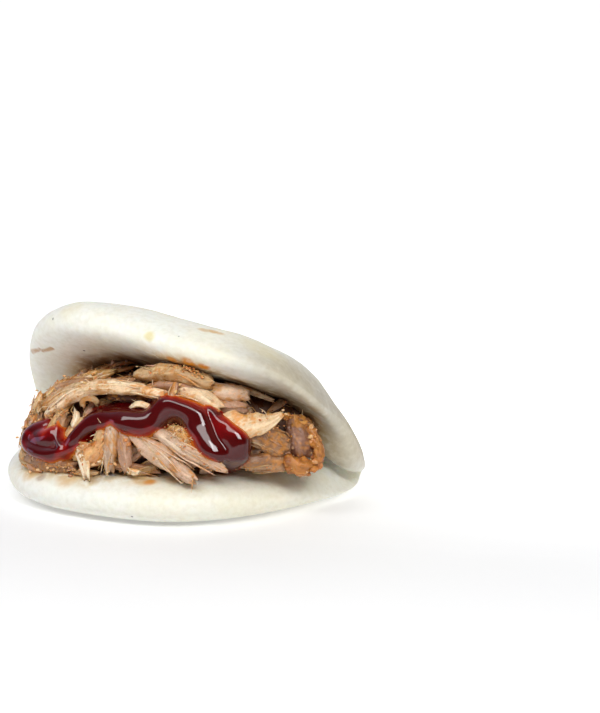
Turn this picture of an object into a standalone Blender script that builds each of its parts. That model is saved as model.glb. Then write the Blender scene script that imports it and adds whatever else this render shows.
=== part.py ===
"""Pulled pork bao: a steamed bun folded at the back round a heap of shredded pork with a thick drizzle of sauce.

Metres, +Z up. X runs along the fold, the mouth faces -Y, and the bun rests on Z = 0. The bun is shaped about
the middle of its fold, and the finished shapes are then moved so that their box stands centred on the origin.
"""

import math
import random

import bmesh
import bpy
import numpy as np
from mathutils import Matrix, Vector
from mathutils.bvhtree import BVHTree

MM = 0.001

# The dough before it is folded: an oval, wider in the lobes than at the fold.
FOLD_HALF = 53 * MM
LOWER_HALF, UPPER_HALF = 54.75 * MM, 55.8 * MM
LOWER_REACH, UPPER_REACH = 65 * MM, 73.5 * MM
LOWER_SHIFT, UPPER_SHIFT = -3.75 * MM, -1.6 * MM
UPPER_SKEW = -0.04
WAIST = 13 * MM
LOWER_ROUND_LEFT, LOWER_ROUND_RIGHT = 2.6, 2.0
UPPER_ROUND_LEFT, UPPER_ROUND_RIGHT = 2.1, 3.1
LOWER_THICK, FOLD_THICK, UPPER_THICK = 13 * MM, 11.5 * MM, 15 * MM
LOWER_RIM, UPPER_RIM, RIGHT_RIM = 0.21, 0.28, 0.42
RIM_POWER = 2.2
UPPER_DOME = 2 * MM
THIN_RIGHT, THIN_END, FULL_RIGHT = 5 * MM, 4 * MM, 7.5 * MM

# The fold: left end open, right end nearly shut. Angles are turned through from the lower lobe.
BEND_LEFT, BEND_RIGHT = 14 * MM, 10.5 * MM
TURN_LEFT, TURN_RIGHT = math.radians(118), math.radians(135)
CURL_LEFT, CURL_RIGHT = math.radians(55), math.radians(52)
OPEN_POWER = 1.65
DROOP_LEFT, DROOP_RIGHT, DROOP_END = 6 * MM, 7 * MM, 6 * MM
HOLLOW_RIGHT, RIM_RIGHT = 8 * MM, 7 * MM
FOLD_Y = 2 * MM

# The heap of pork before the bun cuts it: a rounded box that bulges out of the mouth and leans back.
HEAP_CENTRE = np.array([-2, -13, 22]) * MM
HEAP_HALF = np.array([43, 26.5, 20]) * MM
HEAP_POWER = 2.3
HEAP_TILT, HEAP_LEAN, HEAP_SKEW = 0.08, 0.25, 0.18
CLEARANCE = 0.45 * MM
SEED = 7

# The pieces that show at the front: points along the middle, in millimetres, then width and thickness.
PIECES = [
    ([(-6, -34, 40), (1, -37, 41), (9, -37, 41), (16, -35, 39)], 5.5, 4.5),
    ([(-36, -30, 26), (-29, -34, 32), (-19, -37, 36), (-7, -38, 38), (5, -39, 37)], 4.2, 4.0),
    ([(-40, -26, 26), (-34, -29, 31), (-26, -30, 36)], 3.4, 3.0),
    ([(4, -38, 38), (12, -38, 36), (20, -36, 32)], 4.6, 3.5),
    ([(15, -33, 38), (20, -33, 36), (26, -30, 34)], 7.5, 4.5),
    ([(19, -37, 29), (24, -35, 28), (30, -32, 28), (36, -28, 30)], 7.5, 3.5),
    ([(25, -28, 27), (31, -26, 23), (38, -24, 17)], 9.0, 6.0),
    ([(35, -19, 28), (39, -21, 22), (44, -23, 16)], 8.5, 6.0),
    ([(-5, -42, 25), (5, -44, 20), (15, -45, 15)], 5.6, 4.5),
    ([(1, -42, 27), (12, -43, 22), (22, -42, 17)], 5.0, 4.0),
    ([(-21, -42, 20), (-19, -44, 16), (-17, -45, 12)], 5.5, 2.6),
    ([(-20, -42, 21), (-14, -43, 20), (-9, -43, 18)], 7.5, 4.5),
    ([(-40, -34, 14), (-32, -38, 14), (-22, -41, 14)], 5.0, 5.0),
    ([(-40, -33, 17), (-31, -36, 17), (-25, -38, 16)], 5.0, 4.5),
    ([(-9, -41, 28), (-10, -43, 21), (-11, -43, 15)], 6.5, 4.5),
    ([(5, -40, 26), (11, -42, 25), (17, -41, 23)], 8.0, 4.5),
    ([(0, -38, 35), (10, -39, 34), (17, -38, 32)], 4.2, 3.5),
    ([(6, -37, 42), (9, -40, 35)], 2.2, 2.2),
    ([(-37, -31, 22), (-30, -34, 25), (-23, -36, 30)], 4.6, 4.0),
    ([(-28, -37, 20), (-23, -38, 25), (-21, -38, 30)], 4.6, 3.5),
    ([(28, -31, 18), (33, -28, 17), (39, -25, 17)], 5.0, 4.0),
    ([(18, -38, 31), (22, -39, 26), (28, -37, 20)], 5.0, 4.0),
]
LOOSE_STRIPS = 36

# The thick drizzle: two runs of a ribbon over the front, as places along the fold and heights in millimetres.
SAUCE_LOOP = [(-30, 24), (-35, 24), (-40, 22), (-40, 18), (-34, 17), (-27, 18), (-21, 20)]
SAUCE_WAVE = [(-27, 22), (-22, 25), (-16, 29), (-11, 32), (-6, 32), (-2, 30), (1, 29), (5, 31)]
SAUCE_WAVE += [(9, 33), (13, 34), (17, 32), (20, 28), (23, 23), (25, 19)]
LOOP_WIDE = 5.6 * MM
SAUCE_WIDE, SAUCE_HIGH = 7.6 * MM, 3.2 * MM
DROP_WIDE = 10.5 * MM

BUN_COLOUR = (0.86, 0.85, 0.77, 1)
PORK_COLOUR = (0.44, 0.25, 0.14, 1)


def mix(a, b, t):
    return a + (b - a) * t


def smooth(t):
    t = np.clip(t, 0, 1)
    return t * t * (3 - 2 * t)


def bend_of(x):
    """Half length of the bend, its turn, and the curl of the upper lobe, for places along the fold."""
    t = np.maximum(smooth((x / LOWER_HALF + 1) / 2), 1e-4) ** OPEN_POWER
    return mix(BEND_LEFT, BEND_RIGHT, t), mix(TURN_LEFT, TURN_RIGHT, t), mix(CURL_LEFT, CURL_RIGHT, t)


def heading(q, half, turn, curl):
    """Direction of the dough in the Y-Z plane at q metres past the middle of the fold. 0 is +Y."""
    past = np.clip((q - half) / (UPPER_REACH - half), 0, 1.1)
    return turn * smooth((q + half) / (2 * half)) + curl * past


def thinning(x):
    """How much thinner the lower lobe is towards the shut end of the fold."""
    return THIN_RIGHT * smooth((x - 18 * MM) / (34 * MM)) + THIN_END * smooth((x - 40 * MM) / (12 * MM))


def middle(x, q, steps=48):
    """Y, Z and heading of the dough's middle surface, summed along it from where the bend begins."""
    half, turn, curl = bend_of(x)
    total = q + half
    along = (np.arange(steps) + 0.5) / steps
    places = -half[..., None] + total[..., None] * along
    way = heading(places, half[..., None], turn[..., None], curl[..., None])
    y = FOLD_Y + np.cos(way).mean(-1) * total
    z = (LOWER_THICK - thinning(x)) / 2 + np.sin(way).mean(-1) * total
    side = x / LOWER_HALF
    left = DROOP_LEFT * np.maximum(-side, 0) ** 3 * smooth(q / (30 * MM))
    right = DROOP_RIGHT * np.maximum(side, 0) ** 3 * smooth(q / (26 * MM))
    end = DROOP_END * smooth((x - 34 * MM) / (20 * MM)) * smooth((q + 4 * MM) / (14 * MM))
    return y, z - left - right - end, heading(q, half, turn, curl)


def half_thick(x, q):
    lower = mix(FOLD_THICK, LOWER_THICK, smooth((-q - 6 * MM) / (16 * MM)))
    upper = UPPER_THICK + FULL_RIGHT * smooth((x - 5 * MM) / (40 * MM))
    upper = mix(FOLD_THICK, upper, smooth((q - 4 * MM) / (20 * MM)))
    return (np.where(q < 0, lower, upper) - thinning(x) * smooth(-q / (16 * MM) + 0.5)) / 2


def dough_point(ring, angle, side, swell=0.0):
    """A point of the bun's skin: ring 0 to 1 from the middle of the fold to the rim, side 1 outside, -1 inside."""
    c, s = np.cos(angle), np.sin(angle)
    rightness = smooth(0.5 * c + 0.5)
    lower_round = mix(LOWER_ROUND_LEFT, LOWER_ROUND_RIGHT, rightness)
    upper_round = mix(UPPER_ROUND_LEFT, UPPER_ROUND_RIGHT, rightness)
    power = mix(lower_round, upper_round, smooth(1.5 * s + 0.5))
    square = (np.abs(c) ** power + np.abs(s) ** power) ** (-1 / power)
    uneven = 1 + 0.014 * np.sin(3 * angle + 0.8) + 0.010 * np.sin(5 * angle + 2.1)
    out = ring * square * uneven
    q = out * s * (np.where(s > 0, UPPER_REACH, LOWER_REACH) + swell)
    lobe = smooth(q / (30 * MM) + 0.5)
    half = mix(LOWER_HALF, UPPER_HALF, lobe) + swell
    half = half - (half - FOLD_HALF - swell) * np.exp(-((q / WAIST) ** 2))
    x = out * c * half + mix(LOWER_SHIFT, UPPER_SHIFT, lobe) + UPPER_SKEW * np.maximum(q, 0)
    y, z, way = middle(x, q)
    upper_rim = mix(UPPER_RIM, RIGHT_RIM, smooth((x - 10 * MM) / (30 * MM)))
    edge = np.clip((1 - ring) / mix(LOWER_RIM, upper_rim, lobe), 0, 1)
    round_rim = np.maximum(0, 1 - (1 - edge) ** RIM_POWER) ** (1 / RIM_POWER)
    bend, turn, _ = bend_of(x)
    tightest = 2 * bend / (1.5 * turn)
    thick = half_thick(x, q)
    inside = np.where(np.abs(q) < bend, np.minimum(thick, 0.86 * tightest), thick)
    right = smooth(x / (45 * MM)) * smooth((q - 12 * MM) / (26 * MM))
    centre, hollow = RIM_RIGHT * right, HOLLOW_RIGHT * right
    dome = UPPER_DOME * smooth((q - 12 * MM) / (30 * MM)) * (1 - ring**2)
    if side > 0:
        offset = centre + (thick + dome - centre) * round_rim + swell
    else:
        offset = centre - (inside - hollow + centre) * round_rim - swell
    return np.stack([x, y + offset * np.sin(way), z - offset * np.cos(way)], -1)


def rings(flat, rim):
    """Ring places from the middle to the rim, closer together in the middle of the fold and where the rim turns."""
    inner = (1 - UPPER_RIM) * (np.arange(1, flat + 1) / flat) ** 1.35
    outer = (1 - UPPER_RIM) + UPPER_RIM * np.sin(np.pi / 2 * np.arange(1, rim + 1) / rim)
    return np.concatenate([inner, outer])


def new_object(name, points, faces, material=None):
    mesh = bpy.data.meshes.new(name)
    mesh.from_pydata([tuple(p) for p in points], [], faces)
    work = bmesh.new()
    work.from_mesh(mesh)
    bmesh.ops.recalc_face_normals(work, faces=work.faces)
    bmesh.ops.triangulate(work, faces=work.faces)
    work.to_mesh(mesh)
    work.free()
    mesh.shade_smooth()
    obj = bpy.data.objects.new(name, mesh)
    bpy.context.scene.collection.objects.link(obj)
    if material:
        mesh.materials.append(material)
    return obj


def bun_mesh(name, around, flat, rim, swell=0.0, material=None):
    """The folded dough: an outer and an inner skin of rings that share the rim."""
    places = rings(flat, rim)
    angles = 2 * np.pi * np.arange(around) / around
    grid_ring, grid_angle = np.meshgrid(places, angles, indexing="ij")
    outer = dough_point(grid_ring, grid_angle, 1, swell).reshape(-1, 3)
    inner = dough_point(grid_ring[:-1], grid_angle[:-1], -1, swell).reshape(-1, 3)
    if swell:
        rim_row = dough_point(grid_ring[-1:], grid_angle[-1:], -1, swell).reshape(-1, 3)
        inner = np.concatenate([inner, rim_row])
    zero = np.zeros(1)
    poles = np.concatenate([dough_point(zero, zero, 1, swell), dough_point(zero, zero, -1, swell)])
    points = np.concatenate([outer, inner, poles])
    count = len(places)
    pole_out, pole_in = len(points) - 2, len(points) - 1

    def index(sheet, ring, k):
        if sheet and ring == count - 1 and not swell:
            sheet = 0
        return sheet * len(outer) + ring * around + k % around

    faces = []
    for k in range(around):
        faces.append((pole_out, index(0, 0, k), index(0, 0, k + 1)))
        faces.append((pole_in, index(1, 0, k + 1), index(1, 0, k)))
        for ring in range(count - 1):
            for sheet in (0, 1):
                corners = [index(sheet, ring, k), index(sheet, ring + 1, k)]
                corners += [index(sheet, ring + 1, k + 1), index(sheet, ring, k + 1)]
                faces.append(corners if sheet == 0 else corners[::-1])
        if swell:
            last = count - 1
            faces.append([index(0, last, k), index(1, last, k), index(1, last, k + 1), index(0, last, k + 1)])
    return new_object(name, points, faces, material)


def pocket_mesh(name, stations=26, steps=22):
    """The space between the lobes' middle surfaces, carried on past the mouth."""
    reach = 75 * MM
    points = []
    for x in np.linspace(-62 * MM, 62 * MM, stations):
        q = np.linspace(-reach, reach, steps)
        y, z, _ = middle(np.full(steps, x), q)
        points += [(x, a, b) for a, b in zip(y, z)]
    faces = []
    for i in range(stations - 1):
        for k in range(steps):
            a, b = i * steps + k, i * steps + (k + 1) % steps
            faces.append((a, b, b + steps, a + steps))
    faces.append(tuple(range(steps)))
    faces.append(tuple(range((stations - 1) * steps, stations * steps))[::-1])
    return new_object(name, points, faces)


def heap_point(turn, up, lift=0.0):
    """A point of the heap's skin. The turn is 180 degrees at the left end, 270 at the front, 360 at the right."""
    d = np.array([math.cos(up) * math.cos(turn), math.cos(up) * math.sin(turn), math.sin(up)])
    d = d / (np.abs(d) ** HEAP_POWER).sum() ** (1 / HEAP_POWER)
    lump = 1 + 0.02 * math.sin(5 * turn + 3 * up) + 0.015 * math.sin(9 * turn - 5 * up + 1)
    away = d * (HEAP_HALF * lump + lift)
    return HEAP_CENTRE + away + (0, HEAP_LEAN * away[2] + HEAP_SKEW * away[0], HEAP_TILT * away[0])


def heap_mesh(name, material, segments=30, rows=14):
    """The rounded box, uneven all over."""
    points = []
    for i in range(1, rows):
        up = math.pi * i / rows - math.pi / 2
        points += [heap_point(2 * math.pi * k / segments, up) for k in range(segments)]
    points += [heap_point(0, -math.pi / 2), heap_point(0, math.pi / 2)]
    faces = []
    last = (rows - 2) * segments
    for k in range(segments):
        n = (k + 1) % segments
        faces.append((len(points) - 2, n, k))
        faces.append((len(points) - 1, last + k, last + n))
        for i in range(rows - 2):
            a, b = i * segments + k, i * segments + n
            faces.append((a, b, b + segments, a + segments))
    return new_object(name, points, faces, material)


def curve_through(points, steps):
    """Evenly spaced places on a smooth curve through the points."""
    points = np.asarray(points, float)
    padded = np.vstack([2 * points[0] - points[1], points, 2 * points[-1] - points[-2]])
    fine = []
    for a, b, c, d in zip(padded, padded[1:], padded[2:], padded[3:]):
        t = np.linspace(0, 1, 16, endpoint=False)[:, None]
        bend = (2 * a - 5 * b + 4 * c - d) * t**2 + (3 * b - a - 3 * c + d) * t**3
        fine.append(0.5 * (2 * b + (c - a) * t + bend))
    fine = np.vstack(fine + [points[-1:]])
    along = np.concatenate([[0], np.cumsum(np.linalg.norm(np.diff(fine, axis=0), axis=1))])
    wanted = np.linspace(0, along[-1], steps)
    return np.stack([np.interp(wanted, along, fine[:, k]) for k in range(points.shape[1])], -1)


def unit(v):
    return v / np.linalg.norm(v, axis=-1, keepdims=True)


def swept(name, route, outward, sections):
    """A closed solid along the route, with each section a ring of (across, outward) places in metres."""
    ahead = unit(np.gradient(route, axis=0))
    across = unit(np.cross(ahead, outward))
    away = np.cross(across, ahead)
    points = [p + a * c[0] + w * c[1] for p, a, w, ring in zip(route, across, away, sections) for c in ring]
    sides = len(sections[0])
    faces = [tuple(range(sides)), tuple(range((len(route) - 1) * sides, len(route) * sides))]
    for i in range(len(route) - 1):
        for k in range(sides):
            a, b = i * sides + k, i * sides + (k + 1) % sides
            faces.append((a, b, b + sides, a + sides))
    return new_object(name, points, faces)


def shred_mesh(name, route, wide, thick, chance, sides=5):
    """One torn piece of meat: a flattened strip, narrower and ragged at its ends."""
    outward = unit((route - HEAP_CENTRE) / HEAP_HALF**2)
    sections = []
    for t in np.linspace(0, 1, len(route)):
        full = 0.42 + 0.58 * math.sin(math.pi * min(1, max(0, 0.04 + 0.92 * t))) ** 0.55
        full *= chance.uniform(0.86, 1.12)
        turns = [2 * math.pi * (k + chance.uniform(-0.18, 0.18)) / sides for k in range(sides)]
        sections.append([(math.cos(a) * wide / 2 * full, math.sin(a) * thick / 2 * full) for a in turns])
    return swept(name, route, outward, sections)


def pieces_of_pork(chance):
    """The named pieces, then loose strips that lie on the heap's front and ends."""
    made = []
    for points, wide, thick in PIECES:
        steps = 3 + 2 * len(points)
        route = curve_through(np.array(points) * MM, steps)
        made.append(shred_mesh("piece", route, wide * MM, thick * MM, chance))
    for _ in range(LOOSE_STRIPS):
        turn, up = math.radians(chance.uniform(172, 362)), math.radians(chance.uniform(-30, 62))
        slant, reach = chance.gauss(0, 0.45), chance.uniform(8, 13) * MM
        lift = chance.uniform(-0.6, 0.8) * MM
        across = reach * math.cos(slant) / (HEAP_HALF[0] * (0.5 + 0.5 * abs(math.sin(turn))))
        rise = reach * math.sin(slant) / HEAP_HALF[2]
        places = [(turn + across * t, up + rise * t) for t in (-1, -0.4, 0.3, 1)]
        route = curve_through([heap_point(a, b, lift) for a, b in places], 5)
        wide = chance.uniform(3.2, 5.0) * MM
        made.append(shred_mesh("strip", route, wide, wide * 0.7, chance))
    return made


def sauce_mesh(name, places, surface, start_wide, end_wide):
    """A ribbon that lies on the pork's front and bridges its hollows."""
    flat = curve_through(np.array(places) * MM, 3 * len(places))
    depths = []
    for x, z in flat:
        found = []
        for dx in (-3 * MM, 0, 3 * MM):
            for dz in (-3 * MM, 0, 3 * MM):
                hit = surface.ray_cast(Vector((x + dx, -0.1, z + dz)), Vector((0, 1, 0)))[0]
                found += [hit.y] if hit else []
        depths.append(min(found) if found else np.nan)
    depths = np.array(depths)
    known = ~np.isnan(depths)
    depths = np.interp(np.arange(len(depths)), np.flatnonzero(known), depths[known])
    nearest = np.pad(depths, 6, mode="edge")
    nearest = np.min([nearest[k : k + len(depths) + 8] for k in range(5)], axis=0)
    depths = np.convolve(nearest, np.ones(9) / 9, mode="valid")
    route = np.stack([flat[:, 0], depths + 0.8 * MM, flat[:, 1]], -1)
    outward = unit(np.stack([np.zeros(len(flat)), -np.ones(len(flat)), np.full(len(flat), 0.15)], -1))
    sections = []
    for i in range(len(route)):
        t = i / (len(route) - 1)
        wide = mix(start_wide, end_wide, smooth((t - 0.7) / 0.25))
        wide *= math.sin(math.pi * min(0.5, 0.12 + 3 * t))
        wide *= min(1, 0.35 + 5 * (1 - t)) ** 0.5
        turns = [2 * math.pi * k / 8 for k in range(8)]
        high = [SAUCE_HIGH * math.sin(a) * (0.5 if math.sin(a) > 0 else 1.0) for a in turns]
        sections.append([(math.cos(a) * wide / 2, h) for a, h in zip(turns, high)])
    return swept(name, route, outward, sections)


def boolean(target, operation, other=None, collection=None, solver="MANIFOLD"):
    modifier = target.modifiers.new(operation.lower(), "BOOLEAN")
    modifier.operation = operation
    modifier.solver = solver
    if collection:
        modifier.operand_type = "COLLECTION"
        modifier.collection = collection
    else:
        modifier.object = other
    with bpy.context.temp_override(object=target, active_object=target):
        bpy.ops.object.modifier_apply(modifier=modifier.name)
    gone = list(collection.objects) if collection else [other]
    for obj in gone:
        bpy.data.objects.remove(obj)


def fuse(target, objects):
    """Joins the objects to the target with one union."""
    group = bpy.data.collections.new("fused")
    bpy.context.scene.collection.children.link(group)
    for obj in objects:
        bpy.context.scene.collection.objects.unlink(obj)
        group.objects.link(obj)
    boolean(target, "UNION", collection=group)
    bpy.data.collections.remove(group)


def keep_outer_skin(obj):
    """Drops the loose scraps and the walls of sealed hollows, which are all but the largest shell."""
    work = bmesh.new()
    work.from_mesh(obj.data)
    left, shells = set(work.faces), []
    while left:
        shell, queue = [], [left.pop()]
        while queue:
            face = queue.pop()
            shell.append(face)
            for edge in face.edges:
                for near in edge.link_faces:
                    if near in left:
                        left.remove(near)
                        queue.append(near)
        shells.append(shell)
    shells.sort(key=len)
    for shell in shells[:-1]:
        bmesh.ops.delete(work, geom=shell, context="FACES")
    bmesh.ops.dissolve_degenerate(work, dist=0.01 * MM, edges=work.edges)
    bmesh.ops.triangulate(work, faces=work.faces)
    work.to_mesh(obj.data)
    work.free()


def plain_material(name, colour, roughness):
    material = bpy.data.materials.new(name)
    material.use_nodes = True
    shader = material.node_tree.nodes["Principled BSDF"]
    shader.inputs["Base Color"].default_value = colour
    shader.inputs["Roughness"].default_value = roughness
    shader.inputs["Metallic"].default_value = 0.0
    return material


def surface_of(obj):
    return BVHTree.FromObject(obj, bpy.context.evaluated_depsgraph_get())


def centre_on_origin(objects):
    """Moves the finished shapes so that the middle of their box stands on the origin."""
    points = np.array([v.co for obj in objects for v in obj.data.vertices])
    middle_of_box = (points.min(0) + points.max(0)) / 2
    for obj in objects:
        obj.data.transform(Matrix.Translation((-middle_of_box[0], -middle_of_box[1], 0)))


def main():
    for obj in list(bpy.data.objects):
        bpy.data.objects.remove(obj)
    chance = random.Random(SEED)
    bun = bun_mesh("bun", around=72, flat=8, rim=4, material=plain_material("steamed_dough", BUN_COLOUR, 0.55))
    pork = heap_mesh("pulled_pork", plain_material("pork_and_sauce", PORK_COLOUR, 0.45))
    boolean(pork, "INTERSECT", pocket_mesh("pocket"))
    fuse(pork, pieces_of_pork(chance))
    surface = surface_of(pork)
    loop = sauce_mesh("loop", SAUCE_LOOP, surface, LOOP_WIDE, SAUCE_WIDE)
    wave = sauce_mesh("wave", SAUCE_WAVE, surface, SAUCE_WIDE, DROP_WIDE)
    fuse(pork, [loop, wave])
    boolean(pork, "DIFFERENCE", bun_mesh("swollen_bun", around=72, flat=8, rim=4, swell=CLEARANCE))
    keep_outer_skin(pork)
    centre_on_origin([bun, pork])


main()
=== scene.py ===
"""Pulled pork bao: a steamed bun folded round shredded pork, with a thick glossy drizzle of sauce."""

import math
import random

import bpy
import numpy as np
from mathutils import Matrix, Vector
from mathutils.bvhtree import BVHTree


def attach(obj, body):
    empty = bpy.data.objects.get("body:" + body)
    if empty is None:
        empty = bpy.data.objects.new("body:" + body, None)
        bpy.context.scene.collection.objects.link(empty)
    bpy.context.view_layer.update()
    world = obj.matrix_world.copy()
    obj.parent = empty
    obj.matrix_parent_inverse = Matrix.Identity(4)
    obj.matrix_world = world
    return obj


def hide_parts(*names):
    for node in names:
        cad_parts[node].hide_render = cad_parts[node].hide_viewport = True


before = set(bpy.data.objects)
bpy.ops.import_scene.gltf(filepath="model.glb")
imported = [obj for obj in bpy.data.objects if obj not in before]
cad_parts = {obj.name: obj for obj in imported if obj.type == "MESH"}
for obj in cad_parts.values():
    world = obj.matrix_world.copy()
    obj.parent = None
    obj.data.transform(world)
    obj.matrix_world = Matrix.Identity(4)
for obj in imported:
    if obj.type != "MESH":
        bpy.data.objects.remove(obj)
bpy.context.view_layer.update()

MM = 0.001
# The shapes are worked out about the middle of the fold, in millimetres, and then moved by this much.
SHIFT = np.array([1.7222, 14.8365, 0.0])

# Dough, in millimetres, as in the part's source.
FOLD_HALF = 53
LOWER_HALF, UPPER_HALF = 54.75, 55.8
LOWER_REACH, UPPER_REACH = 65, 73.5
LOWER_SHIFT, UPPER_SHIFT = -3.75, -1.6
UPPER_SKEW = -0.04
WAIST = 13
LOWER_ROUND_LEFT, LOWER_ROUND_RIGHT = 2.6, 2.0
UPPER_ROUND_LEFT, UPPER_ROUND_RIGHT = 2.1, 3.1
LOWER_THICK, FOLD_THICK, UPPER_THICK = 13, 11.5, 15
LOWER_RIM, UPPER_RIM, RIGHT_RIM = 0.21, 0.28, 0.42
RIM_POWER = 2.2
UPPER_DOME = 2
THIN_RIGHT, THIN_END, FULL_RIGHT = 5, 4, 7.5
BEND_LEFT, BEND_RIGHT = 14, 10.5
TURN_LEFT, TURN_RIGHT = math.radians(118), math.radians(135)
CURL_LEFT, CURL_RIGHT = math.radians(55), math.radians(52)
OPEN_POWER = 1.65
DROOP_LEFT, DROOP_RIGHT, DROOP_END = 6, 7, 6
HOLLOW_RIGHT, RIM_RIGHT = 8, 7
FOLD_Y = 2

# The heap of pork: a rounded box that bulges out of the mouth and leans back.
HEAP_CENTRE = np.array([-2.0, -13.0, 22.0])
HEAP_HALF = np.array([43.0, 26.5, 20.0])
HEAP_POWER = 2.3
HEAP_TILT, HEAP_LEAN, HEAP_SKEW = 0.08, 0.25, 0.18

# The camera, from the photograph: millimetres to a pixel at the bun, and the pixel of the fold's middle.
AZIMUTH, ELEVATION, LENS, SENSOR = math.radians(15), math.radians(10.8), 85, 36
IMAGE_WIDE, IMAGE_HIGH = 600, 713
MM_PER_PIXEL = 0.31
ORIGIN_PIXEL = (194, 484)


def linear(r, g, b):
    """A colour given from 0 to 255 as it shows on a screen, in the linear values that shaders use."""
    c = np.array([r, g, b]) / 255
    return np.where(c <= 0.04045, c / 12.92, ((c + 0.055) / 1.055) ** 2.4)


def mix(a, b, t):
    return a + (b - a) * t


def smooth(t):
    t = np.clip(t, 0, 1)
    return t * t * (3 - 2 * t)


def unit(v):
    return v / np.maximum(np.linalg.norm(v, axis=-1, keepdims=True), 1e-9)


def hashed(cell, seed):
    n = cell[..., 0] * 374761393 + cell[..., 1] * 668265263 + cell[..., 2] * 2147483647 + seed * 144665
    n = n & 0xFFFFFFFF
    n = ((n ^ (n >> 13)) * 1274126177) & 0xFFFFFFFF
    return ((n ^ (n >> 16)) & 0xFFFF) / 32767.5 - 1


def noise_of(points, size, seed):
    """Smooth noise from -1 to 1 at the points. The size of its cells is one number or one for each axis."""
    p = points / np.array(size)
    cell = np.floor(p).astype(np.int64)
    part = p - cell
    part = part * part * (3 - 2 * part)
    total = np.zeros(p.shape[:-1])
    for corner in range(8):
        d = np.array([corner & 1, (corner >> 1) & 1, (corner >> 2) & 1])
        total += np.prod(np.where(d, part, 1 - part), axis=-1) * hashed(cell + d, seed)
    return total


def noise(x, y, z, seed):
    return noise_of(np.stack(np.broadcast_arrays(x, y, z), -1), 1.0, seed)


def windows(field, axis, reach):
    """The field moved along an axis by each whole step within the reach, with its edges held."""
    edge = [(reach, reach) if k == axis else (0, 0) for k in (0, 1)]
    padded = np.pad(field, edge, mode="edge")
    return [np.take(padded, range(k, k + field.shape[axis]), axis=axis) for k in range(2 * reach + 1)]


def widened(field, reach, how):
    """The field with each place given the highest or lowest of those round it."""
    for axis in (0, 1):
        field = how(windows(field, axis, reach), axis=0)
    return field


def softened(field, sigma):
    """The field with each place given the mean of those round it, the nearer ones counting more."""
    reach = int(sigma * 2.5) + 1
    weight = np.exp(-((np.arange(-reach, reach + 1) / sigma) ** 2) / 2)
    weight /= weight.sum()
    for axis in (0, 1):
        field = sum(w * part for w, part in zip(weight, windows(field, axis, reach)))
    return field


def full_turn(count):
    return 2 * np.pi * np.arange(count) / count


def length_of(points):
    return np.linalg.norm(np.diff(points, axis=0), axis=1).sum()


def between(wanted, known, values):
    """The rows of values, known at some places, at the wanted places."""
    return np.stack([np.interp(wanted, known, column) for column in values.T], -1)


def placed(name, data):
    """A new object in the scene."""
    made = bpy.data.objects.new(name, data)
    bpy.context.scene.collection.objects.link(made)
    return made


class Shape:
    """Points, faces and per-point values of one piece, gathered from many small forms."""

    def __init__(self):
        self.points, self.faces, self.values, self.count = [], [], {}, 0

    def add(self, points, faces, **values):
        points = np.asarray(points, float)
        self.points.append(points)
        self.faces += [tuple(int(k) + self.count for k in face) for face in faces]
        for name, value in values.items():
            value = np.asarray(value, float)
            wanted = (len(points),) if value.ndim == 0 or value.shape == (len(points),) else (len(points), 3)
            self.values.setdefault(name, []).append(np.broadcast_to(value, wanted))
        self.count += len(points)

    def build(self, name, material):
        mesh = bpy.data.meshes.new(name)
        points = (np.concatenate(self.points) + SHIFT) * MM
        mesh.from_pydata(points.tolist(), [], self.faces)
        for key, parts in self.values.items():
            value = np.concatenate(parts)
            kind, field = ("FLOAT_VECTOR", "vector") if value.ndim == 2 else ("FLOAT", "value")
            attribute = mesh.attributes.new(key, kind, "POINT")
            attribute.data.foreach_set(field, value.astype(np.float32).ravel())
        mesh.validate()
        mesh.shade_smooth()
        mesh.materials.append(material)
        return placed(name, mesh)


def ring_faces(rows, columns):
    """Faces of a tube, given as rows that are rings."""
    faces = []
    for start in range(0, (rows - 1) * columns, columns):
        for k in range(columns):
            a, b = start + k, start + (k + 1) % columns
            faces.append((a, b, b + columns, a + columns))
    return faces


def capped_faces(rows, columns):
    """Faces of a tube and of its two ends. The middles of the ends are the next two points."""
    faces, count, end = ring_faces(rows, columns), rows * columns, (rows - 1) * columns
    for k in range(columns):
        n = (k + 1) % columns
        faces += [(count, n, k), (count + 1, end + k, end + n)]
    return faces


# Bun


def bend_of(x):
    t = np.maximum(smooth((x / LOWER_HALF + 1) / 2), 1e-4) ** OPEN_POWER
    return mix(BEND_LEFT, BEND_RIGHT, t), mix(TURN_LEFT, TURN_RIGHT, t), mix(CURL_LEFT, CURL_RIGHT, t)


def heading(q, half, turn, curl):
    past = np.clip((q - half) / (UPPER_REACH - half), 0, 1.1)
    return turn * smooth((q + half) / (2 * half)) + curl * past


def thinning(x):
    return THIN_RIGHT * smooth((x - 18) / 34) + THIN_END * smooth((x - 40) / 12)


def middle(x, q, steps=48):
    half, turn, curl = bend_of(x)
    total = q + half
    along = (np.arange(steps) + 0.5) / steps
    places = -half[..., None] + total[..., None] * along
    way = heading(places, half[..., None], turn[..., None], curl[..., None])
    y = FOLD_Y + np.cos(way).mean(-1) * total
    z = (LOWER_THICK - thinning(x)) / 2 + np.sin(way).mean(-1) * total
    side = x / LOWER_HALF
    left = DROOP_LEFT * np.maximum(-side, 0) ** 3 * smooth(q / 30)
    right = DROOP_RIGHT * np.maximum(side, 0) ** 3 * smooth(q / 26)
    end = DROOP_END * smooth((x - 34) / 20) * smooth((q + 4) / 14)
    return y, z - left - right - end, heading(q, half, turn, curl)


def half_thick(x, q):
    lower = mix(FOLD_THICK, LOWER_THICK, smooth((-q - 6) / 16))
    upper = UPPER_THICK + FULL_RIGHT * smooth((x - 5) / 40)
    upper = mix(FOLD_THICK, upper, smooth((q - 4) / 20))
    return (np.where(q < 0, lower, upper) - thinning(x) * smooth(-q / 16 + 0.5)) / 2


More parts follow.
